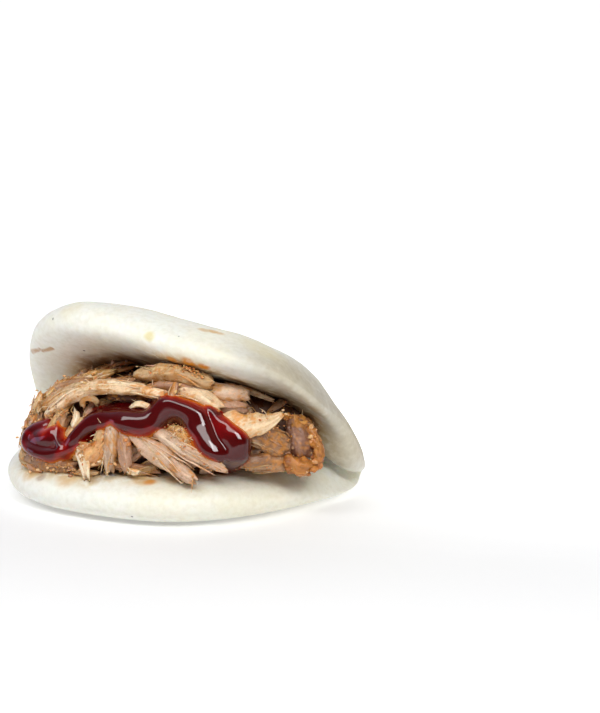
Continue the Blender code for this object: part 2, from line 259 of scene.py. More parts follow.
def dough_point(ring, angle, side):
    c, s = np.cos(angle), np.sin(angle)
    rightness = smooth(0.5 * c + 0.5)
    lower_round = mix(LOWER_ROUND_LEFT, LOWER_ROUND_RIGHT, rightness)
    upper_round = mix(UPPER_ROUND_LEFT, UPPER_ROUND_RIGHT, rightness)
    power = mix(lower_round, upper_round, smooth(1.5 * s + 0.5))
    square = (np.abs(c) ** power + np.abs(s) ** power) ** (-1 / power)
    uneven = 1 + 0.014 * np.sin(3 * angle + 0.8) + 0.010 * np.sin(5 * angle + 2.1)
    out = ring * square * uneven
    q = out * s * np.where(s > 0, UPPER_REACH, LOWER_REACH)
    lobe = smooth(q / 30 + 0.5)
    half = mix(LOWER_HALF, UPPER_HALF, lobe)
    half = half - (half - FOLD_HALF) * np.exp(-((q / WAIST) ** 2))
    x = out * c * half + mix(LOWER_SHIFT, UPPER_SHIFT, lobe) + UPPER_SKEW * np.maximum(q, 0)
    y, z, way = middle(x, q)
    upper_rim = mix(UPPER_RIM, RIGHT_RIM, smooth((x - 10) / 30))
    edge = np.clip((1 - ring) / mix(LOWER_RIM, upper_rim, lobe), 0, 1)
    round_rim = np.maximum(0, 1 - (1 - edge) ** RIM_POWER) ** (1 / RIM_POWER)
    bend, turn, _ = bend_of(x)
    tightest = 2 * bend / (1.5 * turn)
    thick = half_thick(x, q)
    inside = np.where(np.abs(q) < bend, np.minimum(thick, 0.86 * tightest), thick)
    right = smooth(x / 45) * smooth((q - 12) / 26)
    centre, hollow = RIM_RIGHT * right, HOLLOW_RIGHT * right
    dome = UPPER_DOME * smooth((q - 12) / 30) * (1 - ring**2)
    reach = thick + dome - centre if side > 0 else inside - hollow + centre
    offset = centre + side * reach * round_rim
    return np.stack([x, y + offset * np.sin(way), z - offset * np.cos(way)], -1)


def dough_sheet(around=380, flat=84, rim=44):
    """The folded dough in fine rings, slightly uneven all over and flat where it rests.

    It gives the points, the faces, each point's grease stain (in part painted shade) and painted shade, and
    which points are on the inner side.
    """
    inner = (1 - UPPER_RIM) * (np.arange(1, flat + 1) / flat) ** 1.1
    outer = (1 - UPPER_RIM) + UPPER_RIM * np.sin(np.pi / 2 * np.arange(1, rim + 1) / rim)
    ring, angle = np.meshgrid(np.concatenate([inner, outer]), full_turn(around), indexing="ij")
    ring_under, angle_under = ring[-2::-1], angle[-2::-1]
    top, under = dough_point(ring, angle, 1), dough_point(ring_under, angle_under, -1)
    sheet = np.concatenate([top, under])
    normal = unit(np.cross(np.roll(sheet, -1, 1) - np.roll(sheet, 1, 1), np.gradient(sheet, axis=0)))
    rise = 0.5 * noise_of(sheet, 17, 1) + 0.22 * noise_of(sheet, 7, 2) + 0.07 * noise_of(sheet, 2.6, 3) - 0.35
    rise *= smooth((sheet[..., 2] - 0.3) / 5)
    sheet = sheet + normal * rise[..., None]
    sheet[..., 2] = np.maximum(sheet[..., 2], 0)
    zero = np.zeros(1)
    poles = np.concatenate([dough_point(zero, zero, 1), dough_point(zero, zero, -1)])
    points = np.concatenate([sheet.reshape(-1, 3), poles])

    def at_right(side, turn):
        return smooth((side[..., 0] - 16) / 24) * smooth((np.sin(turn) - 0.05) / 0.3)

    deep = ring_under * np.sin(angle_under) * UPPER_REACH
    # A grease stain over the inner face near the rim, stronger towards the right end, where it is also painted
    # shade.
    stain = smooth((deep - 14) / 16) * smooth((1 - ring_under) / 0.22)
    stain = stain * mix(0.08, 0.5, smooth((under[..., 0] + 36) / 50))
    # Painted shade at the right end: on the top near the rim and over the inner face.
    dusk_top = 0.75 * smooth((ring - 0.75) / 0.22) * at_right(top, angle)
    dusk_under = at_right(under, angle_under) * (0.6 + 0.4 * smooth((1 - ring_under) / 0.25))
    grease = np.concatenate([0 * ring.ravel(), stain.ravel(), zero, zero])
    dusk = np.concatenate([dusk_top.ravel(), dusk_under.ravel(), zero, zero])
    inner_side = np.concatenate([(ring > 0.9).ravel(), np.ones(ring_under.size, bool), [False, True]])
    return points, capped_faces(len(sheet), around), grease, dusk, inner_side


def bun_shape(sheet, meat):
    """The dough, greasy near the meat on its inner side."""
    points, faces, grease, dusk, inner_side = sheet
    x, y, z = points.T
    for k in np.flatnonzero(inner_side & (y < 6) & (y > -49) & (z > 3) & (z < 54)):
        found = meat.find_nearest(Vector(points[k]), 8.0)
        if found[0] is not None:
            strong = mix(0.42, 1.0, float(smooth((points[k, 2] - 14) / 10)))
            grease[k] = max(grease[k], strong * math.exp(-max(0.0, found[3] - 0.5) / 2.4))
    shape = Shape()
    shape.add(points, faces, grease=grease, dusk=dusk)
    return shape


def kept_inside(shape, dough, gap=0.35):
    """Moves what would cut into the dough back to just inside it, as seen from the middle of the heap."""
    for block in shape.points:
        for k, point in enumerate(block):
            start = np.array([np.clip(point[0] * 0.8, -30, 28), HEAP_CENTRE[1] - 1, HEAP_CENTRE[2] + 1])
            far = float(np.linalg.norm(point - start))
            if far < 1:
                continue
            way = (point - start) / far
            hit = dough.ray_cast(Vector(start), Vector(way), far + gap)
            if hit[0] is not None:
                block[k] = start + way * (hit[3] - gap)


# Pork


def heap_place(turn, up, lift=0.0):
    """A point of the heap's skin. A turn of 180 degrees is the left end, 270 the front, 360 the right end."""
    d = np.stack([np.cos(up) * np.cos(turn), np.cos(up) * np.sin(turn), np.sin(up) + 0 * turn], -1)
    d = d / (np.abs(d) ** HEAP_POWER).sum(-1, keepdims=True) ** (1 / HEAP_POWER)
    away = d * (HEAP_HALF + lift)
    x, z = away[..., 0], away[..., 2]
    return HEAP_CENTRE + away + np.stack([0 * x, HEAP_LEAN * z + HEAP_SKEW * x, HEAP_TILT * x], -1)


def curve_through(points, steps):
    """Evenly spaced places on a smooth curve through the points."""
    points = np.asarray(points, float)
    padded = np.vstack([2 * points[0] - points[1], points, 2 * points[-1] - points[-2]])
    t = np.linspace(0, 1, 16, endpoint=False)[:, None]
    fine = []
    for a, b, c, d in zip(padded, padded[1:], padded[2:], padded[3:]):
        bend = (2 * a - 5 * b + 4 * c - d) * t**2 + (3 * b - a - 3 * c + d) * t**3
        fine.append(0.5 * (2 * b + (c - a) * t + bend))
    fine = np.vstack([*fine, points[-1:]])
    along = np.concatenate([[0], np.cumsum(np.linalg.norm(np.diff(fine, axis=0), axis=1))])
    return between(np.linspace(0, along[-1], steps), along, fine)


# How meat is coloured: its main colour, its pale streaks, its browned or glazed parts, and how much of the two.
TONES = {
    "pink": ((206, 174, 150), (228, 206, 184), (190, 136, 80), 0.45, 0.45),
    "rose": ((190, 150, 126), (212, 182, 158), (166, 114, 68), 0.30, 0.42),
    "plum": ((140, 100, 80), (172, 134, 110), (98, 60, 42), 0.35, 0.45),
    "leaf": ((222, 192, 152), (242, 222, 190), (208, 146, 70), 0.55, 0.35),
    "pale": ((228, 198, 162), (246, 228, 200), (212, 150, 84), 0.55, 0.35),
    "cream": ((236, 212, 178), (250, 236, 212), (220, 168, 104), 0.60, 0.25),
    "tan": ((200, 166, 122), (226, 200, 158), (174, 122, 62), 0.50, 0.50),
    "brown": ((160, 122, 92), (190, 154, 118), (124, 80, 48), 0.35, 0.50),
    "dark": ((92, 52, 30), (130, 84, 52), (60, 30, 14), 0.25, 0.50),
    "orange": ((212, 156, 104), (234, 194, 142), (200, 118, 52), 0.45, 0.55),
    "glazed": ((184, 120, 56), (220, 160, 84), (140, 76, 28), 0.30, 0.60),
    "golden": ((214, 168, 108), (238, 206, 150), (192, 128, 62), 0.50, 0.50),
}
TONES = {name: (*(linear(*colour) for colour in tone[:3]), *tone[3:]) for name, tone in TONES.items()}
GOLD = linear(208, 142, 62)


def meat_colour(tone, across, along, seed, groove_shade=1.0):
    """Streaks along the fibres, browned patches and golden flecks of fat, darkened by painted shade in the
    grooves. The places are in millimetres.
    """
    main, light, dark, pale_share, brown_share = TONES[tone]
    streak = 0.6 * noise(across / 0.8, along / 9, 0, seed) + 0.35 * noise(across / 0.36, along / 5, 5, seed + 1)
    patch = noise(across / 3.6, along / 3.6, 9, seed + 2) + 0.5 * noise(across / 1.3, along / 1.5, 3, seed + 3)
    fleck = noise(across / 0.5, along / 0.6, 7, seed + 4)
    pale = smooth((streak + pale_share - 0.35) / 0.8)[..., None]
    brown = smooth((patch + 0.5 * fleck + brown_share - 0.6) / 0.5)[..., None]
    gold = smooth((fleck + 0.7 * patch - 0.22) / 0.4)[..., None]
    colour = mix(main, light, pale)
    colour = mix(colour, dark, brown * 0.8)
    colour = mix(colour, GOLD, gold * 0.6)
    shade = 1 + 0.12 * streak + 0.08 * fleck
    return colour * (shade * groove_shade)[..., None]


def frames_along(route, face=None):
    """Directions ahead, across and outward at each place of a route."""
    ahead = unit(np.gradient(route, axis=0))
    if face is None:
        outward = unit((route - HEAP_CENTRE) / HEAP_HALF**2)
    else:
        outward = np.broadcast_to(unit(np.array(face, float)), route.shape)
    across = unit(np.cross(ahead, outward))
    return ahead, across, np.cross(across, ahead)


def shred(
    shape, chance, points, wide, thick, tone, fray=0.9, bundle=1.7, face=None, coarse=1.0, ease=0.3, glow=1.0,
    depth=1.0, lumpy=0.0, point=0.0, rim=0.45,
):
    """One torn piece of meat: a flattened bundle of fibres, uneven along both edges, with ragged ends."""
    points = np.asarray(points, float)
    length = length_of(points)
    rows = max(9, int(length / (0.5 * coarse)))
    route = curve_through(points, rows)
    round_it = math.pi * (wide + thick) / 2 * 1.05
    sides = max(8, int(round_it / (0.34 * coarse)))
    seed = chance.randrange(1000)
    ahead, across, away = frames_along(route, face)
    t = np.linspace(0, 1, rows)[:, None]
    along = t * length
    roll = 0.25 * noise(along / 8, 0, 0, seed)
    across, away = across * np.cos(roll) + away * np.sin(roll), away * np.cos(roll) - across * np.sin(roll)
    angle = full_turn(sides)[None, :]
    c, s = np.cos(angle), np.sin(angle)

    def fibres(fine, long, which, drift=0.0):
        """Noise round the piece and along it, with the size of its cells both ways."""
        turn = round_it / (2 * math.pi)
        return noise(c * turn / fine, s * turn / fine, along / long + drift, seed + which)

    square = (np.abs(c) ** 2.4 + np.abs(s) ** 2.4) ** (-1 / 2.4)
    body = np.sin(np.pi * np.clip(0.05 + 0.9 * t, 0, 1)) ** ease
    body = body * mix(1, np.clip(1.3 - t, 0, 1), point)
    edge = 1 + 0.22 * noise(along / 4.5, c, 0, seed) + 0.10 * noise(along / 1.5, c * 1.5, 2, seed)
    slim = body * (1 + 0.2 * noise(along / 4, 3, 0, seed))
    first = fibres(bundle, 8 * bundle, 0, 0.5 * noise(along / 9, 0, 4, seed))
    second = fibres(0.62, 7, 1)
    relief = 0.16 * min(bundle, 2.2) / 1.9 * (np.abs(first) ** 0.7 - 0.42)
    relief = relief + 0.10 * (np.abs(second) ** 0.8 - 0.4)
    relief = (relief + 0.07 * fibres(0.3, 4, 2) + 0.2 * fibres(1.4, 2.2, 5)) * min(1, thick / 3.0) * depth
    if lumpy:
        relief = relief + lumpy * fibres(1.1, 1.1, 7) + lumpy * 0.5 * fibres(0.6, 0.6, 8)
    out_x = square * c * wide / 2 * body * edge + c * relief * np.minimum(1, body)
    out_y = square * s * thick / 2 * slim + s * relief * np.minimum(1, body)

    # The ends part into fingers, each drawn to a tip of its own.
    fingers = max(3, int(round(round_it / 1.5)))
    finger_of = np.floor((angle[0] / (2 * np.pi) * fingers + 0.35 * np.sin(3 * angle[0] + seed)) % fingers)
    to_x, to_y, push = out_x.copy(), out_y.copy(), np.zeros_like(out_x)
    reach = min(3.5, length * 0.25)
    for end in (0, 1):
        from_end = np.abs(along - end * length)
        near, tip = smooth(1 - from_end / reach), smooth(1 - from_end / min(1.6, reach * 0.4))
        for finger in range(fingers):
            mine = finger_of == finger
            if not mine.any():
                continue
            longer, aside, up = chance.uniform(-1.0, 1.0) * fray, chance.gauss(0, 0.25), chance.gauss(0, 0.25)
            for out, to, bent in ((out_x, to_x, aside), (out_y, to_y, up)):
                centre = out[:, mine].mean(1, keepdims=True) * 0.9
                to[:, mine] = mix(to[:, mine], centre, tip * 0.8) + bent * near**2 * (0.3 + 0.3 * fray)
            push[:, mine] += (longer * near**2) * (1 if end else -1)
    places = route[:, None, :]
    for way, far in ((across, to_x), (away, to_y), (ahead, push)):
        places = places + way[:, None, :] * far[..., None]
    caps = np.stack([route[0] + ahead[0] * 0.6, route[-1] - ahead[-1] * 0.6])

    place_across = angle / (2 * np.pi) * round_it + 0 * along
    place_along = along + 0 * angle + push
    # Painted shade: darker in the grooves between fibres, then times the piece's glow.
    groove_shade = mix(0.86, 1.02, smooth(np.abs(first) / 0.22))
    groove_shade = groove_shade * mix(0.95, 1.02, smooth(np.abs(second) / 0.3)) * glow
    colour = meat_colour(tone, place_across, place_along, seed + 10, groove_shade)
    border = smooth((np.abs(c) - 0.72) / 0.28) * (0.6 + 0.8 * noise(along / 1.5, c * 2, 6, seed))
    browned = TONES[tone][2]
    colour = mix(colour, browned * glow, np.clip(border * rim * 1.6, 0, 0.85)[..., None])
    colour = np.concatenate([colour.reshape(-1, 3), [browned * 0.7] * 2])
    grain = np.stack([place_across, place_along, np.full_like(place_along, seed)], -1).reshape(-1, 3)
    grain = np.concatenate([grain, grain[:1], grain[-1:]])
    points = np.concatenate([places.reshape(-1, 3), caps])
    shape.add(points, capped_faces(rows, sides), tint=colour, grain=grain)


def bunch(
    shape, chance, points, wide, thick, tone, strands=None, grains=0.35, fray=1.0, face=None, coarse=1.0,
    second=None, **more,
):
    """A piece with a few fine strands and grains on it, each strand with its own length, shade and wander."""
    points = np.asarray(points, float)
    shred(shape, chance, points, wide, thick, tone, fray=fray, face=face, coarse=coarse, **more)
    strands = max(2, int(wide * 0.8)) if strands is None else strands
    length = length_of(points)
    line = curve_through(points, LINE_PLACES)
    ahead, across, away = frames_along(line, face)
    for k in range(strands):
        span = chance.uniform(0.3, 0.8)
        start = chance.uniform(-0.04, 1.05 - span)
        steps = max(4, int(length * span / 2.6))
        share = np.linspace(start, start + span, steps)

        def at(values):
            return between(share, np.linspace(0, 1, LINE_PLACES), values)

        past = np.clip(share, 1, 2) - 1 + np.clip(share, -1, 0)
        place = at(line) + at(ahead) * (past * length)[:, None]
        u = (k + chance.uniform(0.0, 1.0)) / strands - 0.5
        u = np.clip(u + chance.gauss(0, 0.08) * (share - share.mean()) / span * 4, -0.52, 0.52)
        drift = softened(np.array([[chance.gauss(0, 0.4)] for _ in range(steps)]), 0.8)[:, 0]
        rise = chance.uniform(0, 0.9) * np.maximum(0, (share - start - 0.75 * span) / span / 0.25) ** 2
        height = np.sqrt(np.maximum(0.05, 1 - (1.9 * u) ** 2)) * thick / 2 * 0.96
        height = height + rise * chance.choice((0, 0, 1)) + chance.uniform(-0.05, 0.12)
        place = place + at(across) * (u * wide + drift)[:, None] + at(away) * height[:, None]
        fat = chance.uniform(0.3, 0.75)
        own = second if second and chance.random() < 0.35 else tone
        glow = chance.uniform(0.95, 1.08)
        looks = dict(STRAND, face=at(away).mean(0), coarse=coarse * 1.3, glow=glow)
        shred(shape, chance, place, fat, fat * 0.8, own, **looks)
    for _ in range(int(grains * length * wide / 3)):
        k = chance.randrange(LINE_PLACES)
        aside = chance.uniform(0.25, 0.5) if chance.random() < 0.7 else chance.uniform(0, 0.3)
        u = math.copysign(aside, chance.random() - 0.5)
        high = math.sqrt(max(0.02, 1 - (2 * u) ** 2)) * thick / 2
        size = 0.14 + 0.28 * chance.random() ** 2
        shade = mix(mix(GOLD, TONES["orange"][2], chance.random()), TONES["cream"][0], 0.6 * chance.random())
        crumb(shape, chance, line[k] + across[k] * u * wide + away[k] * high, size, shade)


def lumps(shape, chance, points, wide, thick, tones, count, size):
    """A crumbly clump: many small torn lumps round a line."""
    line = curve_through(points, LINE_PLACES)
    _, across, away = frames_along(line)
    tones = tones.split()
    for _ in range(count):
        k, turn = chance.randrange(LINE_PLACES), chance.uniform(0, 2 * math.pi)
        out = chance.random() ** 0.4
        full = out * math.sin(math.pi * min(0.95, max(0.05, k / (LINE_PLACES - 1)))) ** 0.4
        place = line[k] + across[k] * math.cos(turn) * full * wide / 2
        place = place + away[k] * math.sin(turn) * full * thick / 2
        tone = TONES[chance.choice(tones)]
        shade = mix(tone[0], tone[chance.choice((1, 2, 2))], 0.7 * chance.random()) * chance.uniform(0.85, 1.1)
        crumb(shape, chance, place, size * chance.uniform(0.5, 1.25), shade)


def thread(shape, chance, points, wide, colour):
    """A single loose fibre, four-sided."""
    steps = max(6, int(length_of(points) / 0.8))
    route = curve_through(points, steps)
    ahead = unit(np.gradient(route, axis=0))
    across = unit(np.cross(ahead, np.array([0.3, 0.2, 1.0])))
    away = np.cross(across, ahead)
    slim = (wide / 2 * np.sin(np.pi * np.linspace(0.12, 0.97, steps)) ** 0.5)[:, None]
    rings = [route + slim * (across * math.cos(a) + away * math.sin(a)) for a in (0, 1.57, 3.14, 4.71)]
    flat = np.stack(rings, 1).reshape(-1, 3)
    last = (steps - 1) * 4
    faces = ring_faces(steps, 4) + [(3, 2, 1, 0), (last, last + 1, last + 2, last + 3)]
    along = np.repeat(np.linspace(0, 8, steps), 4)
    grain = np.stack([0 * along, along, np.full(len(flat), chance.random())], -1)
    shape.add(flat, faces, tint=np.broadcast_to(colour, flat.shape), grain=grain)


def crumb(shape, chance, centre, size, colour):
    """A small lump of torn meat or fat."""
    directions, faces = BEAD if size > 0.6 else CRUMB
    x, y, z = directions.T * 1.4
    uneven = 1 + 0.35 * noise(x + chance.random() * 50, y, z, 3)
    stretch = np.array([chance.uniform(0.7, 1.4), chance.uniform(0.7, 1.4), chance.uniform(0.5, 1.1)])
    points = centre + directions * uneven[:, None] * stretch * size
    shape.add(points, faces, tint=np.broadcast_to(colour, points.shape), grain=points)


def ball(segments, rows):
    """Points and faces of a round ball of radius one."""
    up, turn = np.meshgrid(np.pi * (np.arange(1, rows) / rows - 0.5), full_turn(segments), indexing="ij")
    points = np.stack([np.cos(up) * np.cos(turn), np.cos(up) * np.sin(turn), np.sin(up)], -1).reshape(-1, 3)
    return np.concatenate([points, [[0, 0, -1], [0, 0, 1]]]), capped_faces(rows - 1, segments)


CRUMB, BEAD = ball(7, 6), ball(14, 10)
# How many places a piece's middle line has, and what is the same in all fine strands.
LINE_PLACES = 40
STRAND = dict(fray=0.3, bundle=0.7, ease=0.5, depth=0.5, rim=0.2)
# How many there are, and the range of their places round the heap and up it, in degrees.
CRUMBS, CRUMB_TURN, CRUMB_UP = 420, (172, 350), (-38, 58)
THREADS, THREAD_TURN, THREAD_UP = 200, (170, 352), (-38, 60)
LOOSE_STRIPS, LOOSE_TURN, LOOSE_UP = 70, (165, 365), (-34, 66)
END_STRIPS, END_TURN, END_UP = 110, (105, 205), (-8, 70)
CAST_FROM = 12.0
SEED = 7


def spot(chance, turn, up):
    """A place round the heap and up it, in radians, from ranges in degrees."""
    return math.radians(chance.uniform(*turn)), math.radians(chance.uniform(*up))


def jitter(chance, spread=1):
    return np.array([chance.gauss(0, spread) for _ in range(3)])


def cast_at_meat(chance, surface, turn, up, level=0.0):
    """A place off the heap, and where the way from it to the heap's middle meets the meat."""
    start = heap_place(*spot(chance, turn, up), CAST_FROM)
    way = HEAP_CENTRE - start + np.array([0, 0, level * (start[2] - HEAP_CENTRE[2])])
    return start, surface.ray_cast(Vector(start), Vector(unit(way)), 30)


def bits_shape(chance, surface):
    """Crumbs and loose fibres that cling to the meat."""
    shape = Shape()
    tones = ["golden", "golden", "orange", "cream", "pale", "tan", "rose"]
    for _ in range(CRUMBS):
        _, hit = cast_at_meat(chance, surface, CRUMB_TURN, CRUMB_UP, 0.4)
        if hit[0] is None:
            continue
        size = 0.22 + 0.5 * chance.random() ** 2
        tone = TONES[chance.choice(tones)]
        for _ in range(chance.choice((1, 1, 2, 4))):
            near = np.array(hit[0]) + jitter(chance) * size * 1.3
            small = size * chance.uniform(0.6, 1.1)
            crumb(shape, chance, near, small, mix(tone[0], tone[chance.choice((1, 2))], 0.5))
    for _ in range(THREADS):
        start, hit = cast_at_meat(chance, surface, THREAD_TURN, THREAD_UP)
        if hit[0] is None:
            continue
        root, out = np.array(hit[0]), np.array(hit[1])
        if np.dot(out, start - root) < 0:
            out = -out
        way = unit(np.cross(out, jitter(chance)))
        reach, rise = chance.uniform(1.5, 5.0), chance.uniform(0.2, 1.2)
        end = root + way * reach + out * rise * 0.6 + jitter(chance, 0.5)
        points = np.array([root - out * 0.3, root + way * reach * 0.4 + out * rise, end])
        wide = chance.uniform(0.12, 0.3)
        thread(shape, chance, points, wide, TONES[chance.choice(["cream", "pale", "golden"])][0])
    return shape


# The pieces that show: points along the middle in millimetres, width, thickness, main and second tone, and
# how they differ.
PIECES = [
    ([(-5, -34, 41), (2, -36, 42), (10, -37, 42), (18, -36, 40)],
     5.4, 4.5, "tan rose", dict(rim=0.8, glow=0.86)),
    ([(-1, -36, 38), (9, -37, 39), (16, -35, 38)], 3.4, 3.5, "rose tan"),
    ([(-35, -31, 26), (-29, -34, 31), (-20, -37, 36), (-8, -39, 38), (6, -40, 37)], 4, 4, "pale tan"),
    ([(-37, -29, 28), (-30, -31, 33), (-21, -34, 36), (-14, -36, 38)], 4.6, 3.4, "tan pale"),
    ([(-33, -27, 34), (-25, -28, 36), (-14, -31, 37), (-4, -33, 39)], 4, 3, "brown tan"),
    ([(8, -38, 38), (14, -38, 37), (21, -37, 33)], 4.2, 3.4, "pale cream"),
    ([(3, -38, 36), (11, -39, 35), (18, -38, 31)], 3.6, 3, "tan rose"),
    ([(15, -34, 38), (20, -33, 37), (27, -30, 36)], 5.2, 4, "pink", dict(strands=2, bundle=2.6, fray=0.5)),
    ([(17, -35, 35), (22, -34, 33), (27, -32, 32)], 4.6, 4, "rose", dict(strands=2, bundle=2.6, fray=0.5)),
    ([(19, -39.5, 30), (25, -39, 29.4), (30, -37, 28.8), (34, -34, 29.4), (37.5, -31, 31.5)],
     8.2, 2.4, "leaf",
     dict(strands=0, point=0.5, depth=0.45, bundle=3, fray=0.2, ease=0.8, face=(0.25, -1, 0.25))),
    ([(26, -34, 28), (32, -32, 25), (38, -30, 20)], 8, 5, "brown tan", dict(lumpy=0.3)),
    ([(25, -36, 18), (32, -33, 17), (40, -29, 17)], 5.6, 4.5, "brown tan", dict(lumpy=0.25)),
    ([(24, -33, 23), (29, -32, 26), (33, -29, 30)], 3.6, 3, "tan pale"),
    ([(39, -24, 29), (41.5, -26, 24), (42.5, -28, 18)],
     9, 5, "plum", dict(strands=0, lumpy=0.5, fray=0.2, depth=0.5)),
    ([(43, -25.5, 26.5), (45.5, -26.5, 23.5), (47, -27.5, 19.5), (46, -28, 16)],
     3.2, 3.6, "glazed", dict(strands=0, lumpy=0.9, fray=0.1, depth=0.4)),
    ([(38, -31, 19), (41.5, -31, 16.5), (46, -29.5, 16)],
     5, 4.8, "glazed", dict(strands=0, lumpy=0.9, fray=0.1, depth=0.4)),
    ([(-5, -42, 26), (0, -43, 23), (6, -44, 20), (16, -46, 14)],
     6, 4.6, "pink pale", dict(point=0.35, bundle=2.2)),
    ([(-1, -41, 28), (6, -42, 25), (13, -44, 22), (24, -43, 17)],
     5, 4.2, "pink pale", dict(point=0.35, bundle=2.2)),
    ([(-21, -42, 20), (-19, -43, 17), (-17, -45, 12)],
     4.8, 1.6, "cream", dict(strands=0, fray=1.6, depth=0.5, point=0.2)),
    ([(-19, -42, 16), (-15, -43, 19), (-11, -42, 23)], 6, 3.6, "orange", dict(fray=1.8, lumpy=0.35)),
    ([(-20, -42, 21), (-14, -43, 19), (-9, -43, 17)], 3.6, 3, "orange", dict(fray=1.6, lumpy=0.3)),
    ([(-41, -33, 14), (-32, -37, 14), (-22, -40, 14)], 4.6, 5, "brown orange", dict(lumpy=0.3)),
    ([(-43, -31, 16), (-41, -33, 13), (-37, -35, 12)], 4, 3.6, "tan", dict(lumpy=0.2)),
    ([(-40, -32, 17), (-31, -35, 17), (-25, -37, 16)], 4.6, 4.5, "brown", dict(lumpy=0.3, glow=0.9)),
    ([(-10, -41, 29), (-10, -43, 22), (-11, -43, 14)], 4.6, 4, "pink tan", dict(glow=0.86)),
    ([(-8, -41, 28), (-6, -43, 21), (-5, -44, 15)], 4.2, 3.8, "rose pale", dict(glow=0.92)),
    ([(-13, -40, 27), (-14, -42, 22), (-14, -42, 17)], 3.4, 3, "tan pink"),
    ([(5, -40, 26), (11, -42, 25), (17, -42, 22)], 7, 4, "golden", dict(strands=3, lumpy=0.4, grains=1.2)),
    ([(8, -38, 41), (8, -40, 38), (7, -41, 35)], 2, 1.8, "rose", dict(strands=2)),
    ([(-6, -40, 32), (-2, -41, 34), (3, -40, 32)],
     2.4, 1.2, "cream", dict(strands=0, depth=0.3, fray=0.2, ease=0.6)),
    ([(-38, -27, 32), (-39, -28, 28), (-39, -29, 24)], 4.6, 3.4, "tan", dict(lumpy=0.25)),
    ([(-24, -36, 30), (-23, -37, 28), (-24, -38, 25)], 2.8, 1.6, "cream", dict(strands=1)),
    ([(-21, -37, 31), (-20, -38, 34), (-17, -38, 34), (-16, -37, 32)], 2, 1.4, "tan", dict(strands=1)),
    ([(-33, -36, 21), (-30, -36, 24), (-26, -36, 28)], 4.6, 3.5, "brown tan"),
    ([(-28, -36, 20), (-24, -37, 24), (-21, -37, 28)], 3.6, 3, "tan brown"),
    ([(-14, -35.5, 34), (-8, -36.5, 35), (-1, -37.5, 34)], 3, 2.6, "dark tan"),
    ([(18, -37, 31), (22, -38, 26), (28, -36, 20)], 5, 4, "golden tan"),
    ([(-7, -43, 16), (-4, -44, 15), (-1, -44, 15)], 2.2, 1.6, "cream", dict(strands=1)),
]
# The crumbly clumps: points, width, thickness, tones, how many lumps and their size.
CLUMPS = [
    ([(37, -25, 29), (41, -25.5, 27.5), (45, -26.5, 24), (47, -27.5, 19)],
     2.6, 3.2, "glazed orange glazed", 34, 0.9),
    ([(47, -28, 18), (45, -29.5, 16), (41, -31, 16), (38, -31, 18.5)],
     4.2, 4, "glazed glazed orange", 34, 1.1),
    ([(38.5, -26, 28), (40.5, -28, 24), (41, -29.5, 18)], 6.6, 3.4, "plum brown glazed", 90, 0.5),
    ([(27, -31, 29), (32, -31, 25), (36, -29, 19)], 6, 5.2, "brown tan", 120, 0.32),
    ([(4, -41, 26), (11, -43, 26), (17, -43, 22)], 6.5, 4.2, "golden cream orange", 300, 0.27),
    ([(-20, -42, 16), (-15, -43, 20), (-11, -43, 23)], 6.5, 4, "orange golden", 160, 0.3),
    ([(-33, -35, 27), (-29, -36, 29), (-26, -36, 29)], 3, 2.4, "orange golden", 60, 0.3),
    ([(-38, -26, 32), (-39, -28, 28), (-40, -30, 24)], 5, 3.8, "tan golden brown", 140, 0.33),
    ([(-41, -33, 14), (-32, -38, 14), (-22, -41, 13)], 4.8, 4.8, "orange tan brown", 160, 0.34),
    ([(5, -37, 44), (11, -38, 44), (16, -38, 42)], 2.6, 2, "orange glazed golden", 90, 0.33),
]


def core_shape(rows=60, around=150):
    """The inside of the heap, dark and uneven, browner at the left end. It shows only in the gaps, where its
    dark tint is partly the meat's glaze and partly painted shade.
    """
    up, turn = np.meshgrid(np.linspace(-1.45, 1.45, rows), full_turn(around), indexing="ij")
    points = heap_place(turn, up, -2.6)
    rough = 1.1 * noise_of(points, (4, 4, 2.2), 21) + 0.5 * noise_of(points, (1.8, 1.8, 1.1), 22)
    # Partly glaze colour, partly painted shade for the gaps between pieces.
    tint = mix(TONES["dark"][0], TONES["brown"][0], 0.8 * smooth((-24 - points[..., 0]) / 14)[..., None])
    tint = tint * (0.75 + 0.35 * noise_of(points, (3, 3, 1.5), 23))[..., None]
    points = points + unit(points - HEAP_CENTRE) * rough[..., None]
    flat = np.concatenate([points.reshape(-1, 3), [points[0].mean(0), points[-1].mean(0)]])
    tint = np.concatenate([tint.reshape(-1, 3), tint[0, :1], tint[-1, :1]])
    shape = Shape()
    shape.add(flat, capped_faces(rows, around), tint=tint, grain=flat)
    return shape


def chunk_shape(chance):
    """The pieces and the crumbly clumps that the photograph shows one by one."""
    shape = Shape()
    for points, wide, thick, tones, *more in PIECES:
        tone, second = (tones.split() + [None])[:2]
        bunch(shape, chance, points, wide, thick, tone, second=second, coarse=1.22, **(more[0] if more else {}))
    for clump in CLUMPS:
        lumps(shape, chance, *clump)
    return shape


def strip_shape(chance):
    """Loose strips that lie on the heap's front, top and ends."""
    shape = Shape()
    tones = ["tan", "pink", "rose", "brown", "pale", "orange", "golden"]
    for number in range(LOOSE_STRIPS + END_STRIPS):
        turn, up = spot(chance, LOOSE_TURN, LOOSE_UP)
        if number >= LOOSE_STRIPS:
            turn, up = spot(chance, END_TURN, END_UP)
        slant, reach = chance.gauss(0, 0.6), chance.uniform(3.5, 9)
        lift = chance.uniform(-1.8, 0.2)
        across = reach * math.cos(slant) / (HEAP_HALF[0] * (0.5 + 0.5 * abs(math.sin(turn))))
        rise = reach * math.sin(slant) / HEAP_HALF[2]
        places = [heap_place(turn + across * t, up + rise * t, lift) for t in (-1, -0.4, 0.3, 1)]
        wide = chance.uniform(1.6, 4.0)
        tone, looks = chance.choice(tones), dict(strands=int(wide), grains=0.2, coarse=1.6, second="tan")
        bunch(shape, chance, places, wide, wide * 0.62, tone, **looks)
    return shape


# Sauce


